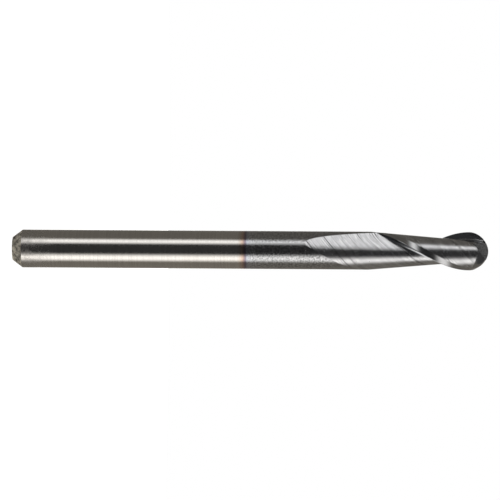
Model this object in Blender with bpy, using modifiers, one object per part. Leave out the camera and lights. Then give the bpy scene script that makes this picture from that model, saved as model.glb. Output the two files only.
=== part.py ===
"""Ball nose end mill with two flutes, ground from one solid carbide rod.

The tool stands on its shank end: +Z runs along the axis towards the ball, and the origin is the middle of
the end face. The cutting edges are right-hand helices. The blank is turned; one cutter, a loft that follows
the helix, takes out a flute together with the clearance behind the next tooth, and a wedge gashes the ball.
Both repeat for each tooth. Metres and degrees throughout.
"""

from math import atan2, cos, degrees, hypot, pi, radians, sin, sqrt, tan

import bmesh
import bpy
import numpy as np
from mathutils import Matrix, Vector

# Rod
ROD_DIAMETER = 0.006
OVERALL_LENGTH = 0.075
END_FACE_DIAMETER = 0.0037
CHAMFER_LENGTH = 0.00155

# Flutes and teeth
TEETH = 2
HELIX_ANGLE = 30.0
EDGE_LENGTH = 0.0178          # from the tip of the ball to the shank end of the cutting edges
CORE_RADIUS = 0.00171         # flat of a flute floor to the axis, at its gullet
FLOOR_RISE = 0.000443         # floor height gained a radian, as the wheel sweeps from gullet to heel
GULLET_NORMAL = 3.6           # direction of the floor at the gullet, ahead of the cutting edge
RAKE_ANGLE = 12.0
LAND_WIDTH = 0.00115          # cutting edge to heel, round the rod
HEEL_DROP = 0.000135          # clearance at the heel of a land
MARGIN_WIDTH = 0.00006        # round strip left at the cutting edge
LAST_PASS_NORMAL = 47.2       # direction of the flat that the wheel leaves as it stops turning with the helix
RELIEF_RUN_IN = 0.0014        # length over which the clearance grows to full depth

# Ball
BALL_BACK_DROP = 0.00042      # clearance of the ball, once it has levelled off behind the land
BALL_BACK_ANGLE = 110.0
GASH_VALLEY_START = (-0.00106, -0.0015, 0.00076)    # bottom of a gash at the flute floor, from the ball centre
GASH_VALLEY_END = (0.0004, -0.00043, 0.00185)
WEB_THICKNESS = 0.00022       # left between the two gashes at the tip

# Mesh
ROUND_STEPS = 96
BALL_STEPS = 16
STATION_STEP = 0.0006
RAKE_FACES = 7
FLAT_FACES = 2
FLOOR_FACES = 18
BACK_FACES = 7
WALL_FACES = 5
OPENING_FACES = 8

ROD_RADIUS = ROD_DIAMETER / 2
TOOTH_PITCH = 360.0 / TEETH
LEAD = pi * ROD_DIAMETER / tan(radians(HELIX_ANGLE))
BALL_CENTRE = OVERALL_LENGTH - ROD_RADIUS
EDGE_END = OVERALL_LENGTH - EDGE_LENGTH
LAND_ANGLE = degrees(LAND_WIDTH / ROD_RADIUS)
MARGIN_ANGLE = degrees(MARGIN_WIDTH / ROD_RADIUS)

# The cutter is drawn past the rod on every side
CLEAR_OF_ROD = 0.04 * ROD_RADIUS
CUTTER_RADIUS = 1.25 * ROD_RADIUS


def polar(radius, angle):
    """A point of a section, from its distance to the axis and its angle ahead of the cutting edge."""
    return np.array((radius * cos(radians(angle)), radius * sin(radians(angle))))


def angle_of(point):
    return degrees(atan2(point[1], point[0])) % 360.0


def edge_angle(height):
    """Direction of the first cutting edge, which is +X at the widest part of the ball."""
    return 360.0 * (height - BALL_CENTRE) / LEAD


def blank_radius(height):
    """The rod with its ball end, before the teeth are ground."""
    above = max(height - BALL_CENTRE, 0.0)
    return sqrt(max(ROD_RADIUS ** 2 - above ** 2, 0.0))


def back_radius(height, behind):
    """The outside of a tooth, an angle behind its cutting edge. It falls away so that only the edge rubs."""
    run_in = min(max((height - EDGE_END) / RELIEF_RUN_IN, 0.0), 1.0)
    fall = HEEL_DROP * (behind - MARGIN_ANGLE) / (LAND_ANGLE - MARGIN_ANGLE)
    if behind > LAND_ANGLE and height > BALL_CENTRE:
        share = min((behind - LAND_ANGLE) / (BALL_BACK_ANGLE - LAND_ANGLE), 1.0)
        fall = HEEL_DROP + (BALL_BACK_DROP - HEEL_DROP) * sin(share * pi / 2)
    fall = fall * run_in - CLEAR_OF_ROD * (1.0 - run_in)
    return blank_radius(height) * (1.0 - fall / ROD_RADIUS)


def floor_height(normal):
    return CORE_RADIUS + FLOOR_RISE * radians(normal - GULLET_NORMAL)


def floor_point(normal):
    """The wheel touches the floor here when its side faces this way. The floor is an involute."""
    return polar(floor_height(normal), normal) + polar(FLOOR_RISE, normal + 90.0)


def rake_face():
    """From outside the rod inwards: a straight face through the cutting edge, then a hook into the floor."""
    edge = polar(ROD_RADIUS, 0.0)
    inwards = -polar(1.0, RAKE_ANGLE)
    gullet = floor_point(GULLET_NORMAL)
    along = polar(1.0, GULLET_NORMAL + 90.0)
    depth, reach = np.linalg.solve(np.column_stack((inwards, along)), gullet - edge)
    corner = edge + inwards * depth
    hook_start = corner - inwards * reach
    outer = edge - inwards * (CUTTER_RADIUS - ROD_RADIUS)
    straight = [outer + (hook_start - outer) * t for t in np.linspace(0, 1, 41)[:-1]]
    hook = [hook_start * (1 - t) ** 2 + corner * 2 * t * (1 - t) + gullet * t ** 2 for t in np.linspace(0, 1, 41)]
    return np.array(straight + hook)


RAKE_FACE = rake_face()
RAKE_DIRECTIONS = np.degrees(np.arctan2(RAKE_FACE[:, 1], RAKE_FACE[:, 0]))


def face_angle(radius):
    """Direction of the rake face at a distance from the axis, above its hook."""
    inner = ROD_RADIUS - 0.8 * (ROD_RADIUS - CORE_RADIUS)
    return float(np.interp(max(radius, inner), np.hypot(*RAKE_FACE.T)[::-1], RAKE_DIRECTIONS[::-1]))


def spread(points, faces):
    """The same line in equal steps."""
    steps = np.hypot(*np.diff(points, axis=0).T)
    along = np.concatenate(((0.0,), np.cumsum(steps)))
    wanted = np.linspace(0.0, along[-1], faces + 1)
    return np.column_stack([np.interp(wanted, along, column) for column in points.T])


def heel_normal(height, first):
    """Where the floor comes up to the back of the next tooth, or nothing once the ball is too narrow."""
    def gap(normal):
        point = floor_point(normal)
        behind = TOOTH_PITCH + face_angle(blank_radius(height)) - angle_of(point)
        return min(back_radius(height, behind) - hypot(*point), ROD_RADIUS * radians(behind - MARGIN_ANGLE))

    if gap(first) <= 0:
        return None if height > BALL_CENTRE else first
    low, high = first, first
    while gap(high) > 0:
        low, high = high, high + 2.0
    for _ in range(30):
        middle = (low + high) / 2
        low, high = (middle, high) if gap(middle) > 0 else (low, middle)
    return low


def cutter_section(height):
    """Section of the flute cutter at a height: rake face, flat, floor, back of the next tooth, then outside."""
    last_pass = LAST_PASS_NORMAL + 360.0 * (EDGE_END - height) / LEAD
    first = max(last_pass, GULLET_NORMAL)
    heel = heel_normal(height, first)
    edge = face_angle(blank_radius(height))

    if heel is None:
        foot = polar(back_radius(height, TOOTH_PITCH), edge)
        rake = np.array((RAKE_FACE[0], foot))
        flat = floor = np.array((foot, foot))
        heel_angle = edge
    else:
        facing = polar(1.0, first)
        outside_flat = RAKE_FACE @ facing - floor_height(first)
        cut = int(np.argmax(outside_flat < 1e-9)) if (outside_flat < 1e-9).any() else len(RAKE_FACE)
        if cut == 0:
            reach = sqrt(CUTTER_RADIUS ** 2 - floor_height(first) ** 2)
            rake = np.array([facing * floor_height(first) - polar(reach, first + 90.0)] * 2)
        elif cut == len(RAKE_FACE):
            rake = RAKE_FACE
        else:
            share = outside_flat[cut - 1] / (outside_flat[cut - 1] - outside_flat[cut])
            meet = RAKE_FACE[cut - 1] + (RAKE_FACE[cut] - RAKE_FACE[cut - 1]) * share
            rake = np.vstack((RAKE_FACE[:cut], meet))
        floor = np.array([floor_point(n) for n in np.linspace(first, heel, FLOOR_FACES + 1)])
        flat = np.array((rake[-1], floor[0]))
        heel_angle = angle_of(floor[-1])

    # The back runs up to the next edge, and the cutter leaves the rod there alongside that tooth's rake face
    gap = MARGIN_ANGLE / 2
    next_edge = TOOTH_PITCH + edge
    leave = max(next_edge - gap, heel_angle + gap)
    back = np.array([polar(back_radius(height, next_edge - a), a)
                     for a in np.linspace(heel_angle, leave, BACK_FACES + 1)])
    leaving = np.linspace(hypot(*back[-1]), CUTTER_RADIUS, WALL_FACES + 1)
    wall = np.array([polar(r, leave - edge + face_angle(r)) for r in leaving])
    opening = np.linspace(angle_of(wall[-1]), angle_of(rake[0]), OPENING_FACES + 1)
    outside = np.array([polar(CUTTER_RADIUS, a) for a in opening])
    parts = (spread(rake, RAKE_FACES), spread(flat, FLAT_FACES)[1:], spread(floor, FLOOR_FACES)[1:], back[1:],
             wall[1:], outside[1:-1])
    section = np.vstack(parts)
    turn = radians(edge_angle(height))
    return section @ np.array(((cos(turn), sin(turn)), (-sin(turn), cos(turn))))


def run_out_height():
    """Where the last flat has left the rod."""
    normal = GULLET_NORMAL + degrees((ROD_RADIUS + CLEAR_OF_ROD / 2 - CORE_RADIUS) / FLOOR_RISE)
    return EDGE_END - LEAD * (normal - LAST_PASS_NORMAL) / 360.0


def flute_stations():
    """Heights of the sections, with one at each change of form and two to each ring of the ball."""
    marks = [run_out_height(), EDGE_END, EDGE_END + RELIEF_RUN_IN, BALL_CENTRE]
    heights = []
    for low, high in zip(marks, marks[1:]):
        count = max(2, round((high - low) / STATION_STEP))
        heights += list(np.linspace(low, high, count + 1)[:-1])
    rings = [BALL_CENTRE + ROD_RADIUS * sin(a) for a in np.linspace(0, pi / 2, 2 * BALL_STEPS + 1)[:-2]]
    return heights + rings


def clear_scene():
    for thing in list(bpy.data.objects):
        bpy.data.objects.remove(thing, do_unlink=True)
    for stray in list(bpy.data.collections):
        bpy.data.collections.remove(stray)


def new_collection(name):
    group = bpy.data.collections.new(name)
    bpy.context.scene.collection.children.link(group)
    return group


def add_object(name, mesh, group):
    thing = bpy.data.objects.new(name, mesh)
    group.objects.link(thing)
    return thing


def loft(mesh, sections, heights):
    """A closed skin through sections with the same number of points each."""
    rings = [[mesh.verts.new((x, y, z)) for x, y in section] for section, z in zip(sections, heights)]
    for lower, upper in zip(rings, rings[1:]):
        for i in range(len(lower)):
            j = (i + 1) % len(lower)
            mesh.faces.new((lower[i], lower[j], upper[j], upper[i]))
    mesh.faces.new(rings[0][::-1])
    mesh.faces.new(rings[-1])


def flute_cutter(name, group):
    """One cutter loft a tooth, in one mesh. The lofts keep clear of each other."""
    heights = flute_stations()
    sections = [cutter_section(z) for z in heights]
    heights.append(OVERALL_LENGTH + CLEAR_OF_ROD)
    sections.append(sections[-1])
    mesh = bmesh.new()
    for tooth in range(TEETH):
        turn = 2 * pi * tooth / TEETH
        turning = np.array(((cos(turn), sin(turn)), (-sin(turn), cos(turn))))
        loft(mesh, [section @ turning for section in sections], heights)
    return clean_object(name, mesh, group)


def clean_object(name, mesh, group):
    bmesh.ops.remove_doubles(mesh, verts=mesh.verts, dist=2e-7)
    bmesh.ops.dissolve_degenerate(mesh, dist=1e-7, edges=mesh.edges)
    bmesh.ops.triangulate(mesh, faces=mesh.faces)
    bmesh.ops.recalc_face_normals(mesh, faces=mesh.faces)
    data = bpy.data.meshes.new(name)
    mesh.to_mesh(data)
    mesh.free()
    return add_object(name, data, group)


def turned(name, profile, group):
    """A solid turned about +Z from a profile that runs down its outer side."""
    data = bpy.data.meshes.new(name)
    data.from_pydata([(x, 0.0, z) for x, z in profile], [(i, i + 1) for i in range(len(profile) - 1)], [])
    thing = add_object(name, data, group)
    screw = thing.modifiers.new("turn", "SCREW")
    screw.axis = "Z"
    screw.angle = 2 * pi
    screw.steps = screw.render_steps = ROUND_STEPS
    screw.use_merge_vertices = True
    screw.merge_threshold = 1e-7
    return thing


def blank_profile():
    ball = [(ROD_RADIUS * cos(a), BALL_CENTRE + ROD_RADIUS * sin(a)) for a in np.linspace(pi / 2, 0, BALL_STEPS + 1)]
    ball[0] = (0.0, OVERALL_LENGTH)
    return ball + [(ROD_RADIUS, CHAMFER_LENGTH), (END_FACE_DIAMETER / 2, 0.0), (0.0, 0.0)]


def gash_cutter(name, group, tooth):
    """A wedge whose bottom edge is the valley. One side faces the tooth, the other stands up from the valley."""
    start, end = Vector(GASH_VALLEY_START), Vector(GASH_VALLEY_END)
    along = (end - start).normalized()
    tip = Vector((0.0, -WEB_THICKNESS / 2, ROD_RADIUS))
    face = (tip - start) - along * (tip - start).dot(along)
    wall = Vector((0.0, -1.0, 0.0)) - along * -along.y
    size = 2.0 * ROD_DIAMETER
    sides = [Vector(), face.normalized() * size, wall.normalized() * size]
    turn = Matrix.Rotation(2 * pi * tooth / TEETH, 3, "Z")
    centre = Vector((0.0, 0.0, BALL_CENTRE))
    mesh = bmesh.new()
    near, far = [[mesh.verts.new(centre + turn @ (base + side)) for side in sides]
                 for base in (start - along * size, end + along * size)]
    for ring in (near, far):
        mesh.faces.new(ring)
    for i in range(3):
        j = (i + 1) % 3
        mesh.faces.new((near[i], near[j], far[j], far[i]))
    return clean_object(name, mesh, group)


def cut(blank, cutter):
    cutter.display_type = "WIRE"
    cutter.hide_render = True
    boolean = blank.modifiers.new(cutter.name, "BOOLEAN")
    boolean.operation = "DIFFERENCE"
    boolean.solver = "EXACT"
    boolean.object = cutter


def carbide():
    material = bpy.data.materials.new("coated_carbide")
    material.use_nodes = True
    shader = material.node_tree.nodes["Principled BSDF"]
    shader.inputs["Base Color"].default_value = (0.23, 0.22, 0.24, 1.0)
    shader.inputs["Metallic"].default_value = 1.0
    shader.inputs["Roughness"].default_value = 0.32
    return material


clear_scene()
parts = new_collection("ball_nose_end_mill")
cutters = new_collection("cutters")

end_mill = turned("end_mill", blank_profile(), parts)
for tooth in range(TEETH):
    cut(end_mill, gash_cutter(f"gash_cutter_{tooth + 1}", cutters, tooth))
cut(end_mill, flute_cutter("flute_cutter", cutters))
end_mill.data.materials.append(carbide())

bpy.context.view_layer.update()
finished = bpy.data.meshes.new_from_object(end_mill.evaluated_get(bpy.context.evaluated_depsgraph_get()))
end_mill.modifiers.clear()
end_mill.data = finished
finished.name = "end_mill"

mesh = bmesh.new()
mesh.from_mesh(finished)
bmesh.ops.remove_doubles(mesh, verts=mesh.verts, dist=1e-6)
bmesh.ops.dissolve_degenerate(mesh, dist=1e-7, edges=mesh.edges)
bmesh.ops.triangulate(mesh, faces=mesh.faces)
bmesh.ops.recalc_face_normals(mesh, faces=mesh.faces)
mesh.to_mesh(finished)
mesh.free()
for polygon in finished.polygons:
    polygon.use_smooth = True
finished.set_sharp_from_angle(angle=radians(28))
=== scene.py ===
"""Ball nose end mill, looks.

A solid carbide tool with two right-hand flutes, bare ground metal on the shank and a dark coating on the
cutting half. It stands on its shank end at the origin, and the camera lies on its side beside it, so that the
tool lies across the picture. Metres and degrees throughout.
"""

from math import atan2, cos, degrees, hypot, pi, radians, sin, sqrt, tan

import bmesh
import bpy
import numpy as np
from mathutils import Matrix, Vector


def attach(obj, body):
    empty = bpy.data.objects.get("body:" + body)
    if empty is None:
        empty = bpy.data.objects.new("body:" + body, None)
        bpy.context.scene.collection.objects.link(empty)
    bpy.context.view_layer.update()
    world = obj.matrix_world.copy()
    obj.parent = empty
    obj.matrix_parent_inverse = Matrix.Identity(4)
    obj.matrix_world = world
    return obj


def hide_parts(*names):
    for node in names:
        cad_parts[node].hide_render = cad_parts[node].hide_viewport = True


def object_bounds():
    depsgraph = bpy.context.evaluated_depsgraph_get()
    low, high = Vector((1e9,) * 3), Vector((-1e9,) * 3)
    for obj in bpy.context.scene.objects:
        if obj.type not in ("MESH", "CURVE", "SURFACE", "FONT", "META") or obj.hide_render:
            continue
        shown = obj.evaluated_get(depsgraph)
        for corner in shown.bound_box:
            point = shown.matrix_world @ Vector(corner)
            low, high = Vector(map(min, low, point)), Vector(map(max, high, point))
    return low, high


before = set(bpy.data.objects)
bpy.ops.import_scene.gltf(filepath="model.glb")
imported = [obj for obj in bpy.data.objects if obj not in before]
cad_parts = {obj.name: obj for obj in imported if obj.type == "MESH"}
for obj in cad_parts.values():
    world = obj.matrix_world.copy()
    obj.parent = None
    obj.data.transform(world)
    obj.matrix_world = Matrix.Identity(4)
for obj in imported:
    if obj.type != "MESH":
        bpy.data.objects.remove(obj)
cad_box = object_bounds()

scene = bpy.context.scene

# The camera
# It stands level with the tip, eight tool lengths away, and is turned on its side so that +Z points right.
# Its lens and its turn come from where the two ends of the tool lie in the picture.
TOOL_LENGTH = cad_box[1][2] - cad_box[0][2]
CAMERA_DISTANCE = 0.615
FRAME_WIDTH = 500.0
SHANK_END_PIXEL = (13.2, 248.4)
TIP_PIXEL = (488.3, 251.4)
SENSOR = 36.0

end_share = (FRAME_WIDTH / 2 - SHANK_END_PIXEL[0]) / (TIP_PIXEL[0] - FRAME_WIDTH / 2)
whole_angle = atan2(TOOL_LENGTH, CAMERA_DISTANCE)
tip_angle = whole_angle / 2
for _ in range(20):
    tip_angle = (tip_angle + whole_angle - atan2(tan(tip_angle) * end_share, 1.0)) / 2
focal_pixels = (TIP_PIXEL[0] - FRAME_WIDTH / 2) / tan(tip_angle)
roll = atan2(TIP_PIXEL[1] - SHANK_END_PIXEL[1], TIP_PIXEL[0] - SHANK_END_PIXEL[0])
middle_row = SHANK_END_PIXEL[1] + (FRAME_WIDTH / 2 - SHANK_END_PIXEL[0]) * tan(roll)

camera = bpy.data.objects.new("camera", bpy.data.cameras.new("camera"))
scene.collection.objects.link(camera)
scene.camera = camera
camera.data.sensor_width = SENSOR
camera.data.lens = SENSOR * focal_pixels / FRAME_WIDTH
camera.data.clip_start = 0.01
camera.data.clip_end = 20.0
camera.data.shift_y = (middle_row - FRAME_WIDTH / 2) / FRAME_WIDTH
backwards = Vector((0.0, -cos(tip_angle), sin(tip_angle)))
right = Vector((0.0, sin(tip_angle), cos(tip_angle)))
turned = Matrix((right, backwards.cross(right), backwards)).transposed()
camera.matrix_world = (Matrix.Translation((0.0, -CAMERA_DISTANCE, TOOL_LENGTH)) @ turned.to_4x4()
                       @ Matrix.Rotation(roll, 4, "Z"))
scene.view_settings.view_transform = "Standard"


# The rod and its teeth
# One rod of sintered tungsten carbide, ground all over: a round shank with a chamfer, two helical flutes cut
# by the side of a wheel, a relieved land behind each cutting edge, and a ball end. The rod is drawn a hair
# thinner than the solid, so that rounding never takes it out of the solid's box.
HAIR_THINNER = 0.9999
ROD_RADIUS = HAIR_THINNER * (cad_box[1][0] - cad_box[0][0]) / 2
END_FACE_RADIUS = 0.00185
CHAMFER_LENGTH = 0.00155
TEETH = 2
HELIX_ANGLE = 30.0
EDGE_LENGTH = 0.0178
# The flute's floor is an involute, which leaves the core at the gullet and rises by so much for each radian.
CORE_RADIUS = 0.00171
FLOOR_RISE = 0.000437
GULLET_NORMAL = 3.6
RAKE_ANGLE = 12.0
HOOK_DEPTH = 0.8
# The land behind the edge is ground flat, from the margin down to the heel.
LAND_WIDTH = 0.00115
HEEL_DROP = 0.000135
MARGIN_WIDTH = 0.00006
RELIEF_RUN_IN = 0.0014
RELIEF_LIFT = 0.04 * ROD_RADIUS
# The wheel's last pass runs out of the rod and leaves a face as a long leaf, a little bent next to the floor.
LAST_PASS_NORMAL = 58.0
FLAT_BEND = 8.0
FLAT_BEND_LENGTH = 0.0007
# The ball is cleared further behind its edges than the rod is.
BALL_BACK_DROP = 0.00042
BALL_BACK_ANGLE = 110.0

TOOTH_PITCH = 360.0 / TEETH
LEAD = 2 * pi * ROD_RADIUS / tan(radians(HELIX_ANGLE))
BALL_CENTRE = TOOL_LENGTH - ROD_RADIUS
EDGE_END = TOOL_LENGTH - EDGE_LENGTH
LAND_ANGLE = degrees(LAND_WIDTH / ROD_RADIUS)
MARGIN_ANGLE = degrees(MARGIN_WIDTH / ROD_RADIUS)

OUTSIDE, FLUTE, BACK, GASH, CHAMFER, RAKE = range(6)
FACES_ACROSS = {"rake": 16, "flat": 8, "floor": 40, "back": 24, "margin": 1, "outside": 56}
SECTIONS_ALONG = {"run-out": 110, "run-in": 14, "plain": 110, "ball": 80}
POINTS_ON_RAKE = 81
POINTS_ON_HOOK = 121
STEPS_ON_BEND = 20
POINTS_ON_FLAT = 301
HALVINGS = 40
BALL_STOPS_AT = radians(89.4)
ROUNDING = 1e-9
ROUNDING_LENGTH = 1e-10
WELD = 4e-7


def polar(radius, angle):
    return np.array((radius * cos(radians(angle)), radius * sin(radians(angle))))


def angle_of(point):
    return degrees(atan2(point[1], point[0])) % 360.0


def blank_radius(height):
    if height < CHAMFER_LENGTH:
        return END_FACE_RADIUS + (ROD_RADIUS - END_FACE_RADIUS) * height / CHAMFER_LENGTH
    above = max(height - BALL_CENTRE, 0.0)
    return sqrt(max(ROD_RADIUS ** 2 - above ** 2, 0.0))


def back_radius(height, behind):
    """The back of a tooth, an angle behind its cutting edge."""
    run_in = min(max((height - EDGE_END) / RELIEF_RUN_IN, 0.0), 1.0)
    land, part = radians(LAND_ANGLE - MARGIN_ANGLE), radians(behind - MARGIN_ANGLE)
    heel = 1.0 - HEEL_DROP / ROD_RADIUS
    if 0.0 <= part <= land:
        fall = ROD_RADIUS * (1.0 - heel * sin(land) / (heel * sin(land - part) + sin(part)))
    else:
        fall = HEEL_DROP * part / land
    if behind > LAND_ANGLE and height > BALL_CENTRE:
        share = min((behind - LAND_ANGLE) / (BALL_BACK_ANGLE - LAND_ANGLE), 1.0)
        fall = HEEL_DROP + (BALL_BACK_DROP - HEEL_DROP) * sin(share * pi / 2)
    fall = fall * run_in - RELIEF_LIFT * (1.0 - run_in)
    return blank_radius(height) * min(1.0, 1.0 - fall / ROD_RADIUS)


def floor_height(normal):
    return CORE_RADIUS + FLOOR_RISE * radians(normal - GULLET_NORMAL)


def floor_point(normal):
    return polar(floor_height(normal), normal) + polar(FLOOR_RISE, normal + 90.0)


def rake_face():
    """The rake face and the hook that leads into the floor, from the cutting edge inwards."""
    edge = polar(ROD_RADIUS, 0.0)
    inwards = -polar(1.0, RAKE_ANGLE)
    gullet = floor_point(GULLET_NORMAL)
    along = polar(1.0, GULLET_NORMAL + 90.0)
    depth, reach = np.linalg.solve(np.column_stack((inwards, along)), gullet - edge)
    corner = edge + inwards * depth
    hook_start = corner - inwards * reach
    straight = [edge + (hook_start - edge) * t for t in np.linspace(0, 1, POINTS_ON_RAKE)[:-1]]
    hook = [hook_start * (1 - t) ** 2 + corner * 2 * t * (1 - t) + gullet * t ** 2
            for t in np.linspace(0, 1, POINTS_ON_HOOK)]
    return np.array(straight + hook)


RAKE_FACE = rake_face()
RAKE_RADII = np.hypot(*RAKE_FACE.T)
RAKE_DIRECTIONS = np.degrees(np.arctan2(RAKE_FACE[:, 1], RAKE_FACE[:, 0]))
# Nearer to the axis than this, the edge over the ball keeps its direction.
HOOK_RADIUS = ROD_RADIUS - HOOK_DEPTH * (ROD_RADIUS - CORE_RADIUS)


def edge_direction(height):
    """Where the rake face comes out of the rod, next to where it would on the plain part of the cutter."""
    radius = max(blank_radius(height), HOOK_RADIUS)
    return float(np.interp(radius, RAKE_RADII[::-1], RAKE_DIRECTIONS[::-1]))


def spread(points, faces):
    """The same line with its points evenly apart, one more than it has faces."""
    points = np.asarray(points)
    steps = np.hypot(*np.diff(points, axis=0).T)
    along = np.concatenate(((0.0,), np.cumsum(steps)))
    wanted = np.linspace(0.0, along[-1], faces + 1)
    return np.column_stack([np.interp(wanted, along, column) for column in points.T])


def up_to(points, depth):
    """The start of a line, as far as the place where depth falls to nothing."""
    if depth[0] <= 0:
        return points[:1]
    beyond = np.flatnonzero(depth <= 0)
    if not len(beyond):
        return points
    last = beyond[0]
    share = depth[last - 1] / (depth[last - 1] - depth[last])
    return np.vstack((points[:last], points[last - 1] + (points[last] - points[last - 1]) * share))


def last_pass_face(first, reach):
    """The face that the wheel's last pass leaves, from the floor outwards: a gentle bend, then straight."""
    bend = FLAT_BEND * reach / FLAT_BEND_LENGTH
    points = [floor_point(first)]
    for i in range(STEPS_ON_BEND):
        facing = first - bend * (i + 0.5) / STEPS_ON_BEND
        points.append(points[-1] - polar(reach / STEPS_ON_BEND, facing + 90.0))
    outwards = -polar(1.0, first - bend + 90.0)
    points += [points[-1] + outwards * d for d in np.linspace(0.0, 3 * ROD_RADIUS, POINTS_ON_FLAT)[1:]]
    return np.array(points), first - bend


def nearest_to_axis(first):
    """Where that face comes nearest to the axis: the flute runs out where this reaches the rod's surface."""
    points, _ = last_pass_face(first, FLAT_BEND_LENGTH)
    return points[np.argmin(np.hypot(*points.T))]


run_out_normal = 90.0
beyond = 270.0
for _ in range(HALVINGS):
    middle = (run_out_normal + beyond) / 2
    if hypot(*nearest_to_axis(middle)) < ROD_RADIUS:
        run_out_normal = middle
    else:
        beyond = middle
RUN_OUT_END = EDGE_END - LEAD * (run_out_normal - LAST_PASS_NORMAL) / 360.0
RUN_OUT_DIRECTION = angle_of(nearest_to_axis(run_out_normal))


def heel_normal(height, first, edge):
    """Where the floor comes up to the back of the next tooth."""
    def gap(normal):
        point = floor_point(normal)
        return back_radius(height, TOOTH_PITCH + edge - angle_of(point)) - hypot(*point)

    if gap(first) <= 0:
        return None if height > BALL_CENTRE else first
    low = high = first
    while gap(high) > 0:
        low, high = high, high + 2.0
    for _ in range(HALVINGS):
        middle = (low + high) / 2
        low, high = (middle, high) if gap(middle) > 0 else (low, middle)
    return low


def tooth_section(height):
    """One tooth's share of a section, from its cutting edge round to the next, in the frame of the helix."""
    edge = edge_direction(height)
    radius = blank_radius(height)
    if height <= RUN_OUT_END:
        # The rod is still whole, and the flute has no width.
        start = polar(radius, RUN_OUT_DIRECTION)
        rake = flat = floor = np.array((start, start))
        heel = opening = angle_of(start)
    else:
        last_pass = LAST_PASS_NORMAL + 360.0 * (EDGE_END - height) / LEAD
        first = max(last_pass, GULLET_NORMAL)
        end = heel_normal(height, first, edge)
        if end is None:
            # The ball has grown thinner than the flute's floor, so only the step at the edge is left.
            foot = polar(back_radius(height, TOOTH_PITCH), edge)
            rake = np.array((polar(radius, edge), foot))
            flat = floor = np.array((foot, foot))
            heel = opening = edge
        else:
            floor = np.array([floor_point(n) for n in np.linspace(first, end, FACES_ACROSS["floor"] + 1)])
            rake = RAKE_FACE[RAKE_RADII <= radius * (1 + ROUNDING)]
            rake = np.vstack((polar(radius, edge), rake[1:])) if len(rake) > 1 else rake
            straight = up_to(rake, rake @ polar(1.0, first) - floor_height(first) - ROUNDING_LENGTH)
            room = hypot(*(straight[-1] - floor[0])) / 2 if len(straight) > 1 else FLAT_BEND_LENGTH
            flat, facing = last_pass_face(first, min(FLAT_BEND_LENGTH, room))
            beyond_flat = rake @ polar(1.0, facing) - flat[-1] @ polar(1.0, facing) - ROUNDING_LENGTH
            inner = np.flatnonzero(np.hypot(*flat.T) <= radius)
            if len(inner) == 0:
                # The last pass only grazes the rod.
                nearest = flat[np.argmin(np.hypot(*flat.T))]
                rake = flat = floor = np.array([nearest / hypot(*nearest) * radius] * 2)
            else:
                if inner[0] > 0:
                    # The floor still lies outside the rod, and the flat crosses the rod's surface twice.
                    outer, inside = flat[inner[0] - 1], flat[inner[0]]
                    share = (hypot(*outer) - radius) / (hypot(*outer) - hypot(*inside))
                    lower = outer + (inside - outer) * share
                    lower *= radius / hypot(*lower)
                    flat = np.vstack((lower, flat[inner[0]:]))
                    floor[:] = lower
                if beyond_flat[0] <= 0:
                    # The flat runs out of the rod before it meets the rake face.
                    flat = up_to(flat, radius * (1 + ROUNDING) - np.hypot(*flat.T))
                    flat[-1] *= radius / hypot(*flat[-1])
                    rake = np.array((flat[-1], flat[-1]))
                else:
                    rake = up_to(rake, beyond_flat)
                    gone = np.flatnonzero((flat - rake[-1]) @ polar(1.0, facing + 90.0) <= 0)
                    flat = np.vstack((flat[:gone[0]] if len(gone) else flat, rake[-1:]))
                flat = flat[::-1]
            heel = angle_of(floor[-1])
            opening = degrees(atan2(rake[0][1], rake[0][0]))
    next_edge = TOOTH_PITCH + edge
    margin = next_edge - MARGIN_ANGLE
    back_angles = np.linspace(min(heel, margin), margin, FACES_ACROSS["back"] + 1)
    back = [polar(back_radius(height, next_edge - a), a) for a in back_angles]
    back[0] = floor[-1] if height > RUN_OUT_END else back[0]
    outside_angles = np.linspace(next_edge, TOOTH_PITCH + opening, FACES_ACROSS["outside"] + 1)
    outside = [polar(radius, a) for a in outside_angles]
    return (spread(rake, FACES_ACROSS["rake"]), spread(flat, FACES_ACROSS["flat"])[1:],
            spread(floor, FACES_ACROSS["floor"])[1:], np.array(back)[1:], np.array(outside))


def section_heights():
    """Sections stand close where the flute runs out and on the ball, which ends just short of its pole."""
    marks = [RUN_OUT_END, EDGE_END, EDGE_END + RELIEF_RUN_IN, BALL_CENTRE]
    heights = [0.0, CHAMFER_LENGTH, 0.5 * RUN_OUT_END]
    for low, high, stretch in zip(marks, marks[1:], ("run-out", "run-in", "plain")):
        heights += list(np.linspace(low, high, SECTIONS_ALONG[stretch] + 1)[:-1])
    turns = np.linspace(0, BALL_STOPS_AT, SECTIONS_ALONG["ball"])
    return heights + [BALL_CENTRE + ROD_RADIUS * sin(a) for a in turns]


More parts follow.
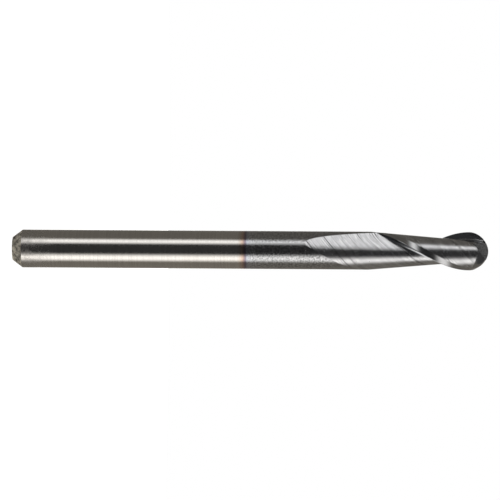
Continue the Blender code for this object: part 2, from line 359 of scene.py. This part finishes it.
def tooth_mesh():
    """The skin of one tooth's half of the tool before it is turned, with a mark for each kind of face."""
    mesh = bmesh.new()
    kind = mesh.faces.layers.int.new("kind")
    strips = [RAKE] * FACES_ACROSS["rake"] + [FLUTE] * (FACES_ACROSS["flat"] + FACES_ACROSS["floor"])
    strips += [BACK] * FACES_ACROSS["back"]
    strips += [OUTSIDE] * (FACES_ACROSS["margin"] + FACES_ACROSS["outside"])
    heights = section_heights()
    rings = [[mesh.verts.new((x, y, z)) for x, y in np.vstack(tooth_section(z))] for z in heights]
    for low, high, lower, upper in zip(heights, heights[1:], rings, rings[1:]):
        for i, surface in enumerate(strips):
            face = mesh.faces.new((lower[i], lower[i + 1], upper[i + 1], upper[i]))
            face[kind] = CHAMFER if high <= CHAMFER_LENGTH else surface
    foot, tip = mesh.verts.new((0, 0, 0)), mesh.verts.new((0, 0, TOOL_LENGTH))
    for i in range(len(strips)):
        mesh.faces.new((foot, rings[0][i + 1], rings[0][i]))[kind] = CHAMFER
        mesh.faces.new((tip, rings[-1][i], rings[-1][i + 1]))[kind] = OUTSIDE
    data = bpy.data.meshes.new("tooth")
    mesh.to_mesh(data)
    mesh.free()
    return data


# The gashes
# A thin wheel is sunk once in front of each cutting edge of the ball. The two sides of its cut meet in a
# valley, and the two gashes leave a thin web of carbide across the axis, where the edges meet.
GASH_VALLEY_START = Vector((-0.00106, -0.0015, 0.00076))
GASH_VALLEY_END = Vector((0.0004, -0.00043, 0.00185))
WEB_THICKNESS = 0.00022


def gash_mesh():
    """The wedge that the thin wheel cuts out: one side faces the edge, the other stands behind it."""
    along = (GASH_VALLEY_END - GASH_VALLEY_START).normalized()
    tip = Vector((0.0, -WEB_THICKNESS / 2, ROD_RADIUS))
    face = (tip - GASH_VALLEY_START) - along * (tip - GASH_VALLEY_START).dot(along)
    wall = Vector((0.0, -1.0, 0.0)) - along * -along.y
    size = 4.0 * ROD_RADIUS
    sides = [Vector(), face.normalized() * size, wall.normalized() * size]
    centre = Vector((0.0, 0.0, BALL_CENTRE))
    mesh = bmesh.new()
    near, far = [[mesh.verts.new(centre + base + side) for side in sides]
                 for base in (GASH_VALLEY_START - along * size, GASH_VALLEY_END + along * size)]
    for ring in (near, far):
        mesh.faces.new(ring)
    for i in range(3):
        j = (i + 1) % 3
        mesh.faces.new((near[i], near[j], far[j], far[i]))
    bmesh.ops.recalc_face_normals(mesh, faces=mesh.faces)
    kind = mesh.faces.layers.int.new("kind")
    for face in mesh.faces:
        face[kind] = GASH
    data = bpy.data.meshes.new("gash")
    mesh.to_mesh(data)
    mesh.free()
    return data


# Round the axis and along the helix
# The grinder turns the rod while the wheel moves along it, then turns it to its next tooth and cuts again.
# The drawn tooth is turned the same way, height by height, and then the gashes are cut.
def helix_tree():
    """Repeats one tooth round the axis, turns each section by the helix, and cuts a gash for each tooth."""
    tree = bpy.data.node_groups.new("teeth_on_helix", "GeometryNodeTree")
    sockets = tree.interface
    sockets.new_socket("Geometry", in_out="INPUT", socket_type="NodeSocketGeometry")
    for label, kind in (("Teeth", "Int"), ("Lead", "Float"), ("Straight below", "Float"),
                        ("Edge along X at", "Float"), ("Gash", "Object"),
                        *((f"Finish {k}", "Material") for k in range(RAKE + 1))):
        sockets.new_socket(label, in_out="INPUT", socket_type="NodeSocket" + kind)
    sockets.new_socket("Geometry", in_out="OUTPUT", socket_type="NodeSocketGeometry")
    nodes, links = tree.nodes, tree.links
    given, out = nodes.new("NodeGroupInput"), nodes.new("NodeGroupOutput")

    def worked_out(operation, a, b):
        node = nodes.new("ShaderNodeMath")
        node.operation = operation
        for socket, value in zip(node.inputs, (a, b)):
            if isinstance(value, (int, float)):
                socket.default_value = value
            else:
                links.new(value, socket)
        return node.outputs[0]

    points = nodes.new("GeometryNodePoints")
    links.new(given.outputs["Teeth"], points.inputs["Count"])
    number = nodes.new("GeometryNodeInputIndex")
    turn = nodes.new("ShaderNodeCombineXYZ")
    full_turns = worked_out("MULTIPLY", number.outputs[0], 2 * pi)
    links.new(worked_out("DIVIDE", full_turns, given.outputs["Teeth"]), turn.inputs["Z"])

    def round_the_axis(geometry):
        placed = nodes.new("GeometryNodeInstanceOnPoints")
        links.new(points.outputs[0], placed.inputs["Points"])
        links.new(geometry, placed.inputs["Instance"])
        links.new(turn.outputs[0], placed.inputs["Rotation"])
        real = nodes.new("GeometryNodeRealizeInstances")
        links.new(placed.outputs[0], real.inputs[0])
        return real.outputs[0]

    position = nodes.new("GeometryNodeInputPosition")
    split = nodes.new("ShaderNodeSeparateXYZ")
    links.new(position.outputs[0], split.inputs[0])
    height = worked_out("MAXIMUM", split.outputs["Z"], given.outputs["Straight below"])
    height = worked_out("SUBTRACT", height, given.outputs["Edge along X at"])
    twist = nodes.new("ShaderNodeVectorRotate")
    twist.rotation_type = "Z_AXIS"
    links.new(position.outputs[0], twist.inputs["Vector"])
    full_turns = worked_out("MULTIPLY", height, 2 * pi)
    links.new(worked_out("DIVIDE", full_turns, given.outputs["Lead"]), twist.inputs["Angle"])
    place = nodes.new("GeometryNodeSetPosition")
    links.new(round_the_axis(given.outputs["Geometry"]), place.inputs["Geometry"])
    links.new(twist.outputs[0], place.inputs["Position"])
    weld = nodes.new("GeometryNodeMergeByDistance")
    links.new(place.outputs[0], weld.inputs["Geometry"])
    weld.inputs["Distance"].default_value = WELD

    wedge = nodes.new("GeometryNodeObjectInfo")
    links.new(given.outputs["Gash"], wedge.inputs["Object"])
    cut = nodes.new("GeometryNodeMeshBoolean")
    cut.operation = "DIFFERENCE"
    cut.solver = "EXACT"
    links.new(weld.outputs[0], cut.inputs["Mesh 1"])
    links.new(round_the_axis(wedge.outputs["Geometry"]), cut.inputs["Mesh 2"])
    kind = nodes.new("GeometryNodeInputNamedAttribute")
    kind.data_type = "INT"
    kind.inputs["Name"].default_value = "kind"
    finished = cut.outputs["Mesh"]
    for k in range(RAKE + 1):
        same = nodes.new("FunctionNodeCompare")
        same.data_type = "INT"
        same.operation = "EQUAL"
        links.new(kind.outputs["Attribute"], same.inputs[2])
        same.inputs[3].default_value = k
        finish = nodes.new("GeometryNodeSetMaterial")
        links.new(finished, finish.inputs["Geometry"])
        links.new(same.outputs[0], finish.inputs["Selection"])
        links.new(given.outputs[f"Finish {k}"], finish.inputs["Material"])
        finished = finish.outputs[0]
    links.new(finished, out.inputs[0])
    return tree


# The ground surfaces
# Each surface shows the wheel that ground it: fine rings round the rod, long grooves down the flutes, smooth
# rake faces and backs, a matt chamfer. The grooves are also darkened in colour as painted shade. Over the
# cutting half lies a dark coating with small droplets in it.
GRAIN = 3800.0
BARE_GRAIN_SHARE = 0.25


def add_node(tree, kind, *links, **settings):
    """One node with its settings, and what feeds its sockets in order; None leaves a socket as it is."""
    node = tree.nodes.new("ShaderNode" + kind)
    for name, value in settings.items():
        setattr(node, name, value)
    for socket, source in zip([i for i in node.inputs if i.enabled], links):
        if hasattr(source, "is_output"):
            tree.links.new(source, socket)
        elif source is not None:
            socket.default_value = source
    return node


def ramp(tree, factor, *stops):
    """A colour by a number; a stop's colour is three shares, or one for grey."""
    node = add_node(tree, "ValToRGB", factor)
    for _ in stops[2:]:
        node.color_ramp.elements.new(0.5)
    for element, (place, *colour) in zip(node.color_ramp.elements, stops):
        element.position = place
        element.color = (*colour, 1.0) if len(colour) == 3 else (*colour * 3, 1.0)
    return node.outputs["Color"]


def times(tree, a, b):
    return add_node(tree, "Math", a, b, operation="MULTIPLY").outputs[0]


def plus(tree, a, b):
    return add_node(tree, "Math", a, b).outputs[0]


def noise(tree, place, *settings, **kind):
    return add_node(tree, "TexNoise", place, *settings, **kind).outputs[0]


def scaled(tree, place, per_metre):
    return add_node(tree, "VectorMath", place, per_metre, operation="MULTIPLY").outputs[0]


# The coating is laid on by vapour in a vacuum, down to where the fixture hides the shank. It thins out there
# through blue, violet, salmon and straw. The end of the shank is scuffed by holders.
COATING_START = 0.03565
COATING_RAMP = 0.0030
COATING_WANDER = 0.00015
COATING_TINTS = ((0.0, 1.0, 1.0, 1.0), (0.14, 0.93, 0.86, 0.80), (0.27, 0.85, 0.66, 0.57),
                 (0.36, 0.52, 0.41, 0.42), (0.43, 0.36, 0.32, 0.42), (0.52, 0.69, 0.75, 0.86),
                 (0.68, 0.70, 0.735, 0.80), (1.0, 0.65, 0.68, 0.725))
LINE_WANDERS = 900.0
FILM_SHOWS = (0.3, 0.75)
SCUFFS = 1100.0
SCUFF_PATCHES = (0.35, 0.65, 0.3, 1.0)
SCUFFED_TO = 0.0025
UNSCUFFED_FROM = 0.0075
SCUFF_ROUGHNESS = 0.22


def coating_group():
    """By height: the carbide's colour under the film, how much of it is coated, and how far it is scuffed."""
    tree = bpy.data.node_groups.new("coating_by_height", "ShaderNodeTree")
    for label, kind, way in (("Bare colour", "Color", "INPUT"), ("Colour", "Color", "OUTPUT"),
                             ("Coated", "Float", "OUTPUT"), ("Scuffed", "Float", "OUTPUT")):
        tree.interface.new_socket(label, in_out=way, socket_type="NodeSocket" + kind)
    given, out = tree.nodes.new("NodeGroupInput"), tree.nodes.new("NodeGroupOutput")
    place = add_node(tree, "TexCoord").outputs["Object"]
    height = add_node(tree, "SeparateXYZ", place).outputs["Z"]
    wander = noise(tree, place, LINE_WANDERS, 1.0)
    wander = add_node(tree, "Math", wander, 0.5, operation="SUBTRACT").outputs[0]
    height = plus(tree, height, times(tree, wander, COATING_WANDER))
    share = add_node(tree, "MapRange", height, COATING_START, COATING_START + COATING_RAMP).outputs[0]
    colour = add_node(tree, "Mix", 1.0, data_type="RGBA", blend_type="MULTIPLY")
    tree.links.new(given.outputs["Bare colour"], colour.inputs["A"])
    tree.links.new(ramp(tree, share, *COATING_TINTS), colour.inputs["B"])
    tree.links.new(colour.outputs["Result"], out.inputs["Colour"])
    tree.links.new(add_node(tree, "MapRange", share, *FILM_SHOWS).outputs[0], out.inputs["Coated"])
    scuffs = noise(tree, place, SCUFFS, 2.0)
    scuffs = add_node(tree, "MapRange", scuffs, *SCUFF_PATCHES).outputs[0]
    near_end = add_node(tree, "MapRange", height, SCUFFED_TO, UNSCUFFED_FROM, 1.0, 0.0).outputs[0]
    tree.links.new(times(tree, scuffs, near_end), out.inputs["Scuffed"])
    return tree


# The wheel's coarse grains leave grooves that wind faster than the flute does, by this much for each metre.
GROOVES_ROUND = 34
GROOVE_TWIST = radians(25500.0)
GROOVE_WANDERS = 6.0
# The grooves' colour is also darkened towards near black. This is painted shade for their walls, which turn
# away from the bright strips.
GROOVE_PAINTED_SHADE = 0.9
GROOVE_DEPTH = 2e-6
GROOVE_PROFILE = ((0.0, 1.0), (0.08, 1.0), (0.22, 0.0), (0.92, 0.0), (1.0, 1.0))
GROOVE_PATCHES = (700.0, 700.0, 90.0)
GROOVE_FADING = (0.38, 0.58, 0.35, 1.0)
GROOVE_SHADE_COLOUR = (0.02, 0.02, 0.02, 1.0)


def grooves(tree, place):
    """How deep each place lies in a groove: they are unevenly spaced, and fade out in patches."""
    split = add_node(tree, "SeparateXYZ", place)
    around = add_node(tree, "Math", split.outputs["Y"], split.outputs["X"], operation="ARCTAN2").outputs[0]
    wander = noise(tree, around, GROOVE_WANDERS, 1.0, noise_dimensions="1D")
    count = plus(tree, times(tree, around, GROOVES_ROUND / (2 * pi)), wander)
    lines = ramp(tree, add_node(tree, "Math", count, operation="FRACT").outputs[0], *GROOVE_PROFILE)
    faint = noise(tree, scaled(tree, place, GROOVE_PATCHES), 1.0, 1.0)
    return times(tree, lines, add_node(tree, "MapRange", faint, *GROOVE_FADING).outputs[0])


def carbide(name, bare, roughness, marks, mark_depth, tone, speckle, droplet_depth, grooved=False):
    """Carbide and its coating. Roughness is bare, then coated. Marks is how close the wheel's marks lie along
    X, Y and Z, per metre. Tone and speckle are how far the marks and the droplets change the colour."""
    material = bpy.data.materials.new(name)
    material.use_nodes = True
    tree = material.node_tree
    shader = tree.nodes["Principled BSDF"]
    place = add_node(tree, "TexCoord").outputs["Object"]
    if grooved:
        turn = times(tree, add_node(tree, "SeparateXYZ", place).outputs["Z"], -GROOVE_TWIST)
        place = add_node(tree, "VectorRotate", place, None, turn, rotation_type="Z_AXIS").outputs[0]
        lines = grooves(tree, place)
    wheel = noise(tree, scaled(tree, place, marks), 1.0, 2.5, 0.6)
    grain = noise(tree, place, GRAIN, 2.0, 0.6)
    coat = add_node(tree, "Group", (*bare, 1.0), node_tree=bpy.data.node_groups["coating_by_height"])
    colour = coat.outputs["Colour"]
    shades = ramp(tree, wheel, (0.3, 1.0 - tone), (0.7, 1.0 + tone))
    specks = ramp(tree, grain, (0.35, 1.0 - speckle), (0.65, 1.0 + speckle))
    for amount, pattern in ((1.0, shades), (coat.outputs["Coated"], specks)):
        mixed = add_node(tree, "Mix", amount, data_type="RGBA", blend_type="MULTIPLY")
        tree.links.new(colour, mixed.inputs["A"])
        tree.links.new(pattern, mixed.inputs["B"])
        colour = mixed.outputs["Result"]
    # Painted shade: the grooves are darkened in the colour as well as cut into the bump.
    if grooved:
        groove_shade = add_node(tree, "Mix", times(tree, lines, GROOVE_PAINTED_SHADE), data_type="RGBA")
        tree.links.new(colour, groove_shade.inputs["A"])
        groove_shade.inputs["B"].default_value = GROOVE_SHADE_COLOUR
        colour = groove_shade.outputs["Result"]
    tree.links.new(colour, shader.inputs["Base Color"])
    rough = add_node(tree, "MapRange", coat.outputs["Coated"], 0.0, 1.0, *roughness).outputs[0]
    rough = plus(tree, rough, times(tree, coat.outputs["Scuffed"], SCUFF_ROUGHNESS))
    uneven = add_node(tree, "Math", grain, 0.5, operation="SUBTRACT").outputs[0]
    tree.links.new(plus(tree, rough, times(tree, uneven, speckle)), shader.inputs["Roughness"])
    depths = (BARE_GRAIN_SHARE * droplet_depth, droplet_depth)
    depth = add_node(tree, "MapRange", coat.outputs["Coated"], 0.0, 1.0, *depths).outputs[0]
    relief = plus(tree, times(tree, grain, depth), times(tree, wheel, mark_depth))
    if grooved:
        cut = times(tree, lines, GROOVE_DEPTH)
        relief = add_node(tree, "Math", relief, cut, operation="SUBTRACT").outputs[0]
    bump = add_node(tree, "Bump", 1.0, 1.0)
    tree.links.new(relief, bump.inputs["Height"])
    tree.links.new(bump.outputs[0], shader.inputs["Normal"])
    shader.inputs["Metallic"].default_value = 1.0
    return material


BARE = (0.60, 0.58, 0.555)
coating_group()
finishes = {
    OUTSIDE: carbide("ground_rod", BARE, (0.15, 0.185), marks=(120.0, 120.0, 4500.0), mark_depth=8e-7,
                     tone=0.06, speckle=0.32, droplet_depth=5e-6),
    FLUTE: carbide("ground_flute", (0.83, 0.80, 0.77), (0.20, 0.25), marks=(2600.0, 2600.0, 60.0),
                   mark_depth=5e-6, tone=0.14, speckle=0.12, droplet_depth=1.5e-6, grooved=True),
    BACK: carbide("ground_back", BARE, (0.15, 0.20), marks=(700.0, 700.0, 2500.0), mark_depth=6e-7,
                  tone=0.04, speckle=0.03, droplet_depth=8e-7),
    GASH: carbide("ground_gash", BARE, (0.20, 0.22), marks=(2600.0, 900.0, 900.0), mark_depth=3e-7,
                  tone=0.05, speckle=0.03, droplet_depth=3e-7),
    CHAMFER: carbide("rough_chamfer", (0.70, 0.655, 0.57), (0.62, 0.62), marks=(1700.0, 1700.0, 1700.0),
                     mark_depth=2e-5, tone=0.75, speckle=0.0, droplet_depth=2e-5),
    RAKE: carbide("ground_rake", (0.66, 0.65, 0.64), (0.15, 0.19), marks=(700.0, 700.0, 3500.0),
                  mark_depth=6e-7, tone=0.06, speckle=0.05, droplet_depth=8e-7),
}
# The chamfer is ground so roughly that it hardly shines like metal.
finishes[CHAMFER].node_tree.nodes["Principled BSDF"].inputs["Metallic"].default_value = 0.5


# The ground tool
# One tooth and one gash become the whole tool, which is one piece. Its edges stay sharp where two ground
# surfaces meet, and only the rake face runs smoothly into the flute.
CREASE = radians(35)
NO_LENGTH = 1e-8

gash = bpy.data.objects.new("gash_wedge", gash_mesh())
tooth = bpy.data.objects.new("tooth", tooth_mesh())
for start_shape in (tooth, gash):
    scene.collection.objects.link(start_shape)
    for material in finishes.values():
        start_shape.data.materials.append(material)
helix = tooth.modifiers.new("helix", "NODES")
helix.node_group = helix_tree()
sizes = {"Teeth": TEETH, "Lead": LEAD, "Straight below": RUN_OUT_END, "Edge along X at": BALL_CENTRE,
         "Gash": gash, **{f"Finish {k}": material for k, material in finishes.items()}}
for item in helix.node_group.interface.items_tree:
    if item.in_out == "INPUT" and item.name in sizes:
        helix[item.identifier] = sizes[item.name]
whole = bpy.data.meshes.new_from_object(tooth.evaluated_get(bpy.context.evaluated_depsgraph_get()))
for start_shape in (tooth, gash):
    bpy.data.objects.remove(start_shape)
end_mill = bpy.data.objects.new("ground_tool", whole)
scene.collection.objects.link(end_mill)

skin = bmesh.new()
skin.from_mesh(whole)
bmesh.ops.remove_doubles(skin, verts=skin.verts, dist=WELD)
bmesh.ops.dissolve_degenerate(skin, dist=NO_LENGTH, edges=skin.edges)
kind = skin.faces.layers.int.get("kind")
for edge in skin.edges:
    if len(edge.link_faces) == 2:
        first, second = edge.link_faces
        one_surface = first[kind] == second[kind] or {first[kind], second[kind]} == {FLUTE, RAKE}
        edge.smooth = one_surface and edge.calc_face_angle(0.0) < CREASE
for face in skin.faces:
    face.smooth = True
skin.to_mesh(whole)
skin.free()

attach(end_mill, "root")
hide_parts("end_mill")


# The studio
# A white backdrop, and a tent of cloth round the tool, seen only in the metal: dark towards the camera, with
# a bright strip on each side of that and one behind the tool, and grey between them. Dark cloth closes both
# ends, and the lower one has a small grey window.
TENT_RADIUS = 0.30
TENT_BOTTOM = -0.07
TENT_TOP = 0.25
BOTTOM_CLOTH = 0.05
TOP_CLOTH = 0.08
WINDOW_RADIUS = 0.045
WINDOW_LIGHT = 0.35
WHITE = (1.0, 1.0, 1.0, 1.0)
DIM = (0.35, 0.35, 0.35, 1.0)
TENT_COLUMNS = 180
# The light of each cloth and strip, in red, green and blue
FRONT_CLOTH = (0.04, 0.04, 0.04)
UPPER_CLOTH = (0.162, 0.152, 0.136)
LOWER_CLOTH = (0.23, 0.213, 0.186)
UPPER_STRIP = (1.62, 1.61, 1.59)
LOWER_STRIP = (1.80, 1.76, 1.70)
BACK_STRIP = (1.40, 1.37, 1.32)
# Each strip's soft edges, in degrees from the camera's direction: it starts, is full, is last full, and ends
UPPER_STRIP_EDGES = (25.0, 48.5, 48.5, 70.0)
LOWER_STRIP_EDGES = (21.0, 53.0, 57.0, 86.5)
BACK_STRIP_EDGES = (159.0, 174.0, 180.0, 195.0)


def tent_colour(direction):
    """The tent's light in a direction, in degrees upwards in the picture from the camera's direction."""
    away = abs(direction)
    if direction > 0:
        cloth, strip, edges = UPPER_CLOTH, UPPER_STRIP, UPPER_STRIP_EDGES
    else:
        cloth, strip, edges = LOWER_CLOTH, LOWER_STRIP, LOWER_STRIP_EDGES
    light = FRONT_CLOTH if away < edges[1] else cloth
    for bright, (start, full, last_full, end) in ((strip, edges), (BACK_STRIP, BACK_STRIP_EDGES)):
        share = min((away - start) / (full - start), (end - away) / (end - last_full))
        share = min(max(share, 0.0), 1.0)
        share = share * share * (3.0 - 2.0 * share)
        light = [dim + (lit - dim) * share for dim, lit in zip(light, bright)]
    return (*light, 1.0)


def tent_wall():
    """The cloth round the sides, with its light painted on."""
    mesh = bmesh.new()
    shade = mesh.loops.layers.float_color.new("light")
    columns = []
    for i in range(TENT_COLUMNS):
        angle = radians(360.0 * i / TENT_COLUMNS - 180.0)
        x, y = -TENT_RADIUS * sin(angle), -TENT_RADIUS * cos(angle)
        columns.append((degrees(angle), [mesh.verts.new((x, y, z)) for z in (TENT_BOTTOM, TENT_TOP)]))
    for i in range(TENT_COLUMNS):
        (angle, (a, b)), (_, (c, d)) = columns[i], columns[(i + 1) % TENT_COLUMNS]
        face = mesh.faces.new((a, c, d, b))
        for loop in face.loops:
            here = angle if loop.vert in (a, b) else angle + 360.0 / TENT_COLUMNS
            loop[shade] = tent_colour(here)
    data = bpy.data.meshes.new("tent")
    mesh.to_mesh(data)
    mesh.free()
    return data


def glow(name, colour, painted_light=None):
    material = bpy.data.materials.new(name)
    material.use_nodes = True
    nodes, links = material.node_tree.nodes, material.node_tree.links
    nodes.clear()
    light = nodes.new("ShaderNodeEmission")
    light.inputs["Color"].default_value = (*colour, 1.0)
    if painted_light:
        painted = nodes.new("ShaderNodeVertexColor")
        painted.layer_name = painted_light
        links.new(painted.outputs["Color"], light.inputs["Color"])
    links.new(light.outputs[0], nodes.new("ShaderNodeOutputMaterial").inputs["Surface"])
    return material


tent = bpy.data.objects.new("tent", tent_wall())
tent.data.materials.append(glow("tent_cloth", (1, 1, 1), "light"))
panels = [tent]
for name, height, radius, level in (("tent_bottom", TENT_BOTTOM, TENT_RADIUS, BOTTOM_CLOTH),
                                    ("tent_window", TENT_BOTTOM + 0.001, WINDOW_RADIUS, WINDOW_LIGHT),
                                    ("tent_top", TENT_TOP, TENT_RADIUS, TOP_CLOTH)):
    disc = bmesh.new()
    bmesh.ops.create_circle(disc, cap_ends=True, radius=radius, segments=64,
                            matrix=Matrix.Translation((0.0, 0.0, height)))
    panels.append(bpy.data.objects.new(name, bpy.data.meshes.new(name)))
    disc.to_mesh(panels[-1].data)
    disc.free()
    panels[-1].data.materials.append(glow(name, (level, level, level)))
for panel in panels:
    scene.collection.objects.link(panel)
    panel.visible_camera = False

# The backdrop is white to look at and in the metal, and it lights matt surfaces only dimly.
world = bpy.data.worlds.new("studio")
scene.world = world
world.use_nodes = True
background = world.node_tree.nodes["Background"]
path = world.node_tree.nodes.new("ShaderNodeLightPath")
seen = world.node_tree.nodes.new("ShaderNodeMix")
seen.data_type = "RGBA"
seen.inputs["A"].default_value = DIM
seen.inputs["B"].default_value = WHITE
shown = plus(world.node_tree, path.outputs["Is Camera Ray"], path.outputs["Is Glossy Ray"])
shown = plus(world.node_tree, shown, path.outputs["Is Transmission Ray"])
world.node_tree.links.new(shown, seen.inputs["Factor"])
world.node_tree.links.new(seen.outputs["Result"], background.inputs["Color"])

# The table
# A pale matt board under the standing tool, lifted to white for the camera alone, so that it still takes the
# tool's shadow. The metal doesn't mirror it, because the photograph shows no table in the metal.
TABLE_COLOUR = (0.85, 0.85, 0.84, 1.0)
TABLE_LIFT = 0.9

table_look = bpy.data.materials.new("table")
table_look.use_nodes = True
table_tree = table_look.node_tree
table_tree.nodes.clear()
path = add_node(table_tree, "LightPath")
lift = times(table_tree, path.outputs["Is Camera Ray"], TABLE_LIFT)
whitened = add_node(table_tree, "Emission", WHITE, lift).outputs[0]
matt = add_node(table_tree, "BsdfDiffuse", TABLE_COLOUR).outputs[0]
both = add_node(table_tree, "AddShader", matt, whitened).outputs[0]
add_node(table_tree, "OutputMaterial", both)
disc = bmesh.new()
bmesh.ops.create_circle(disc, cap_ends=True, radius=TENT_RADIUS, segments=64)
table = bpy.data.objects.new("table", bpy.data.meshes.new("table"))
disc.to_mesh(table.data)
disc.free()
table.data.materials.append(table_look)
scene.collection.objects.link(table)
table.visible_glossy = False
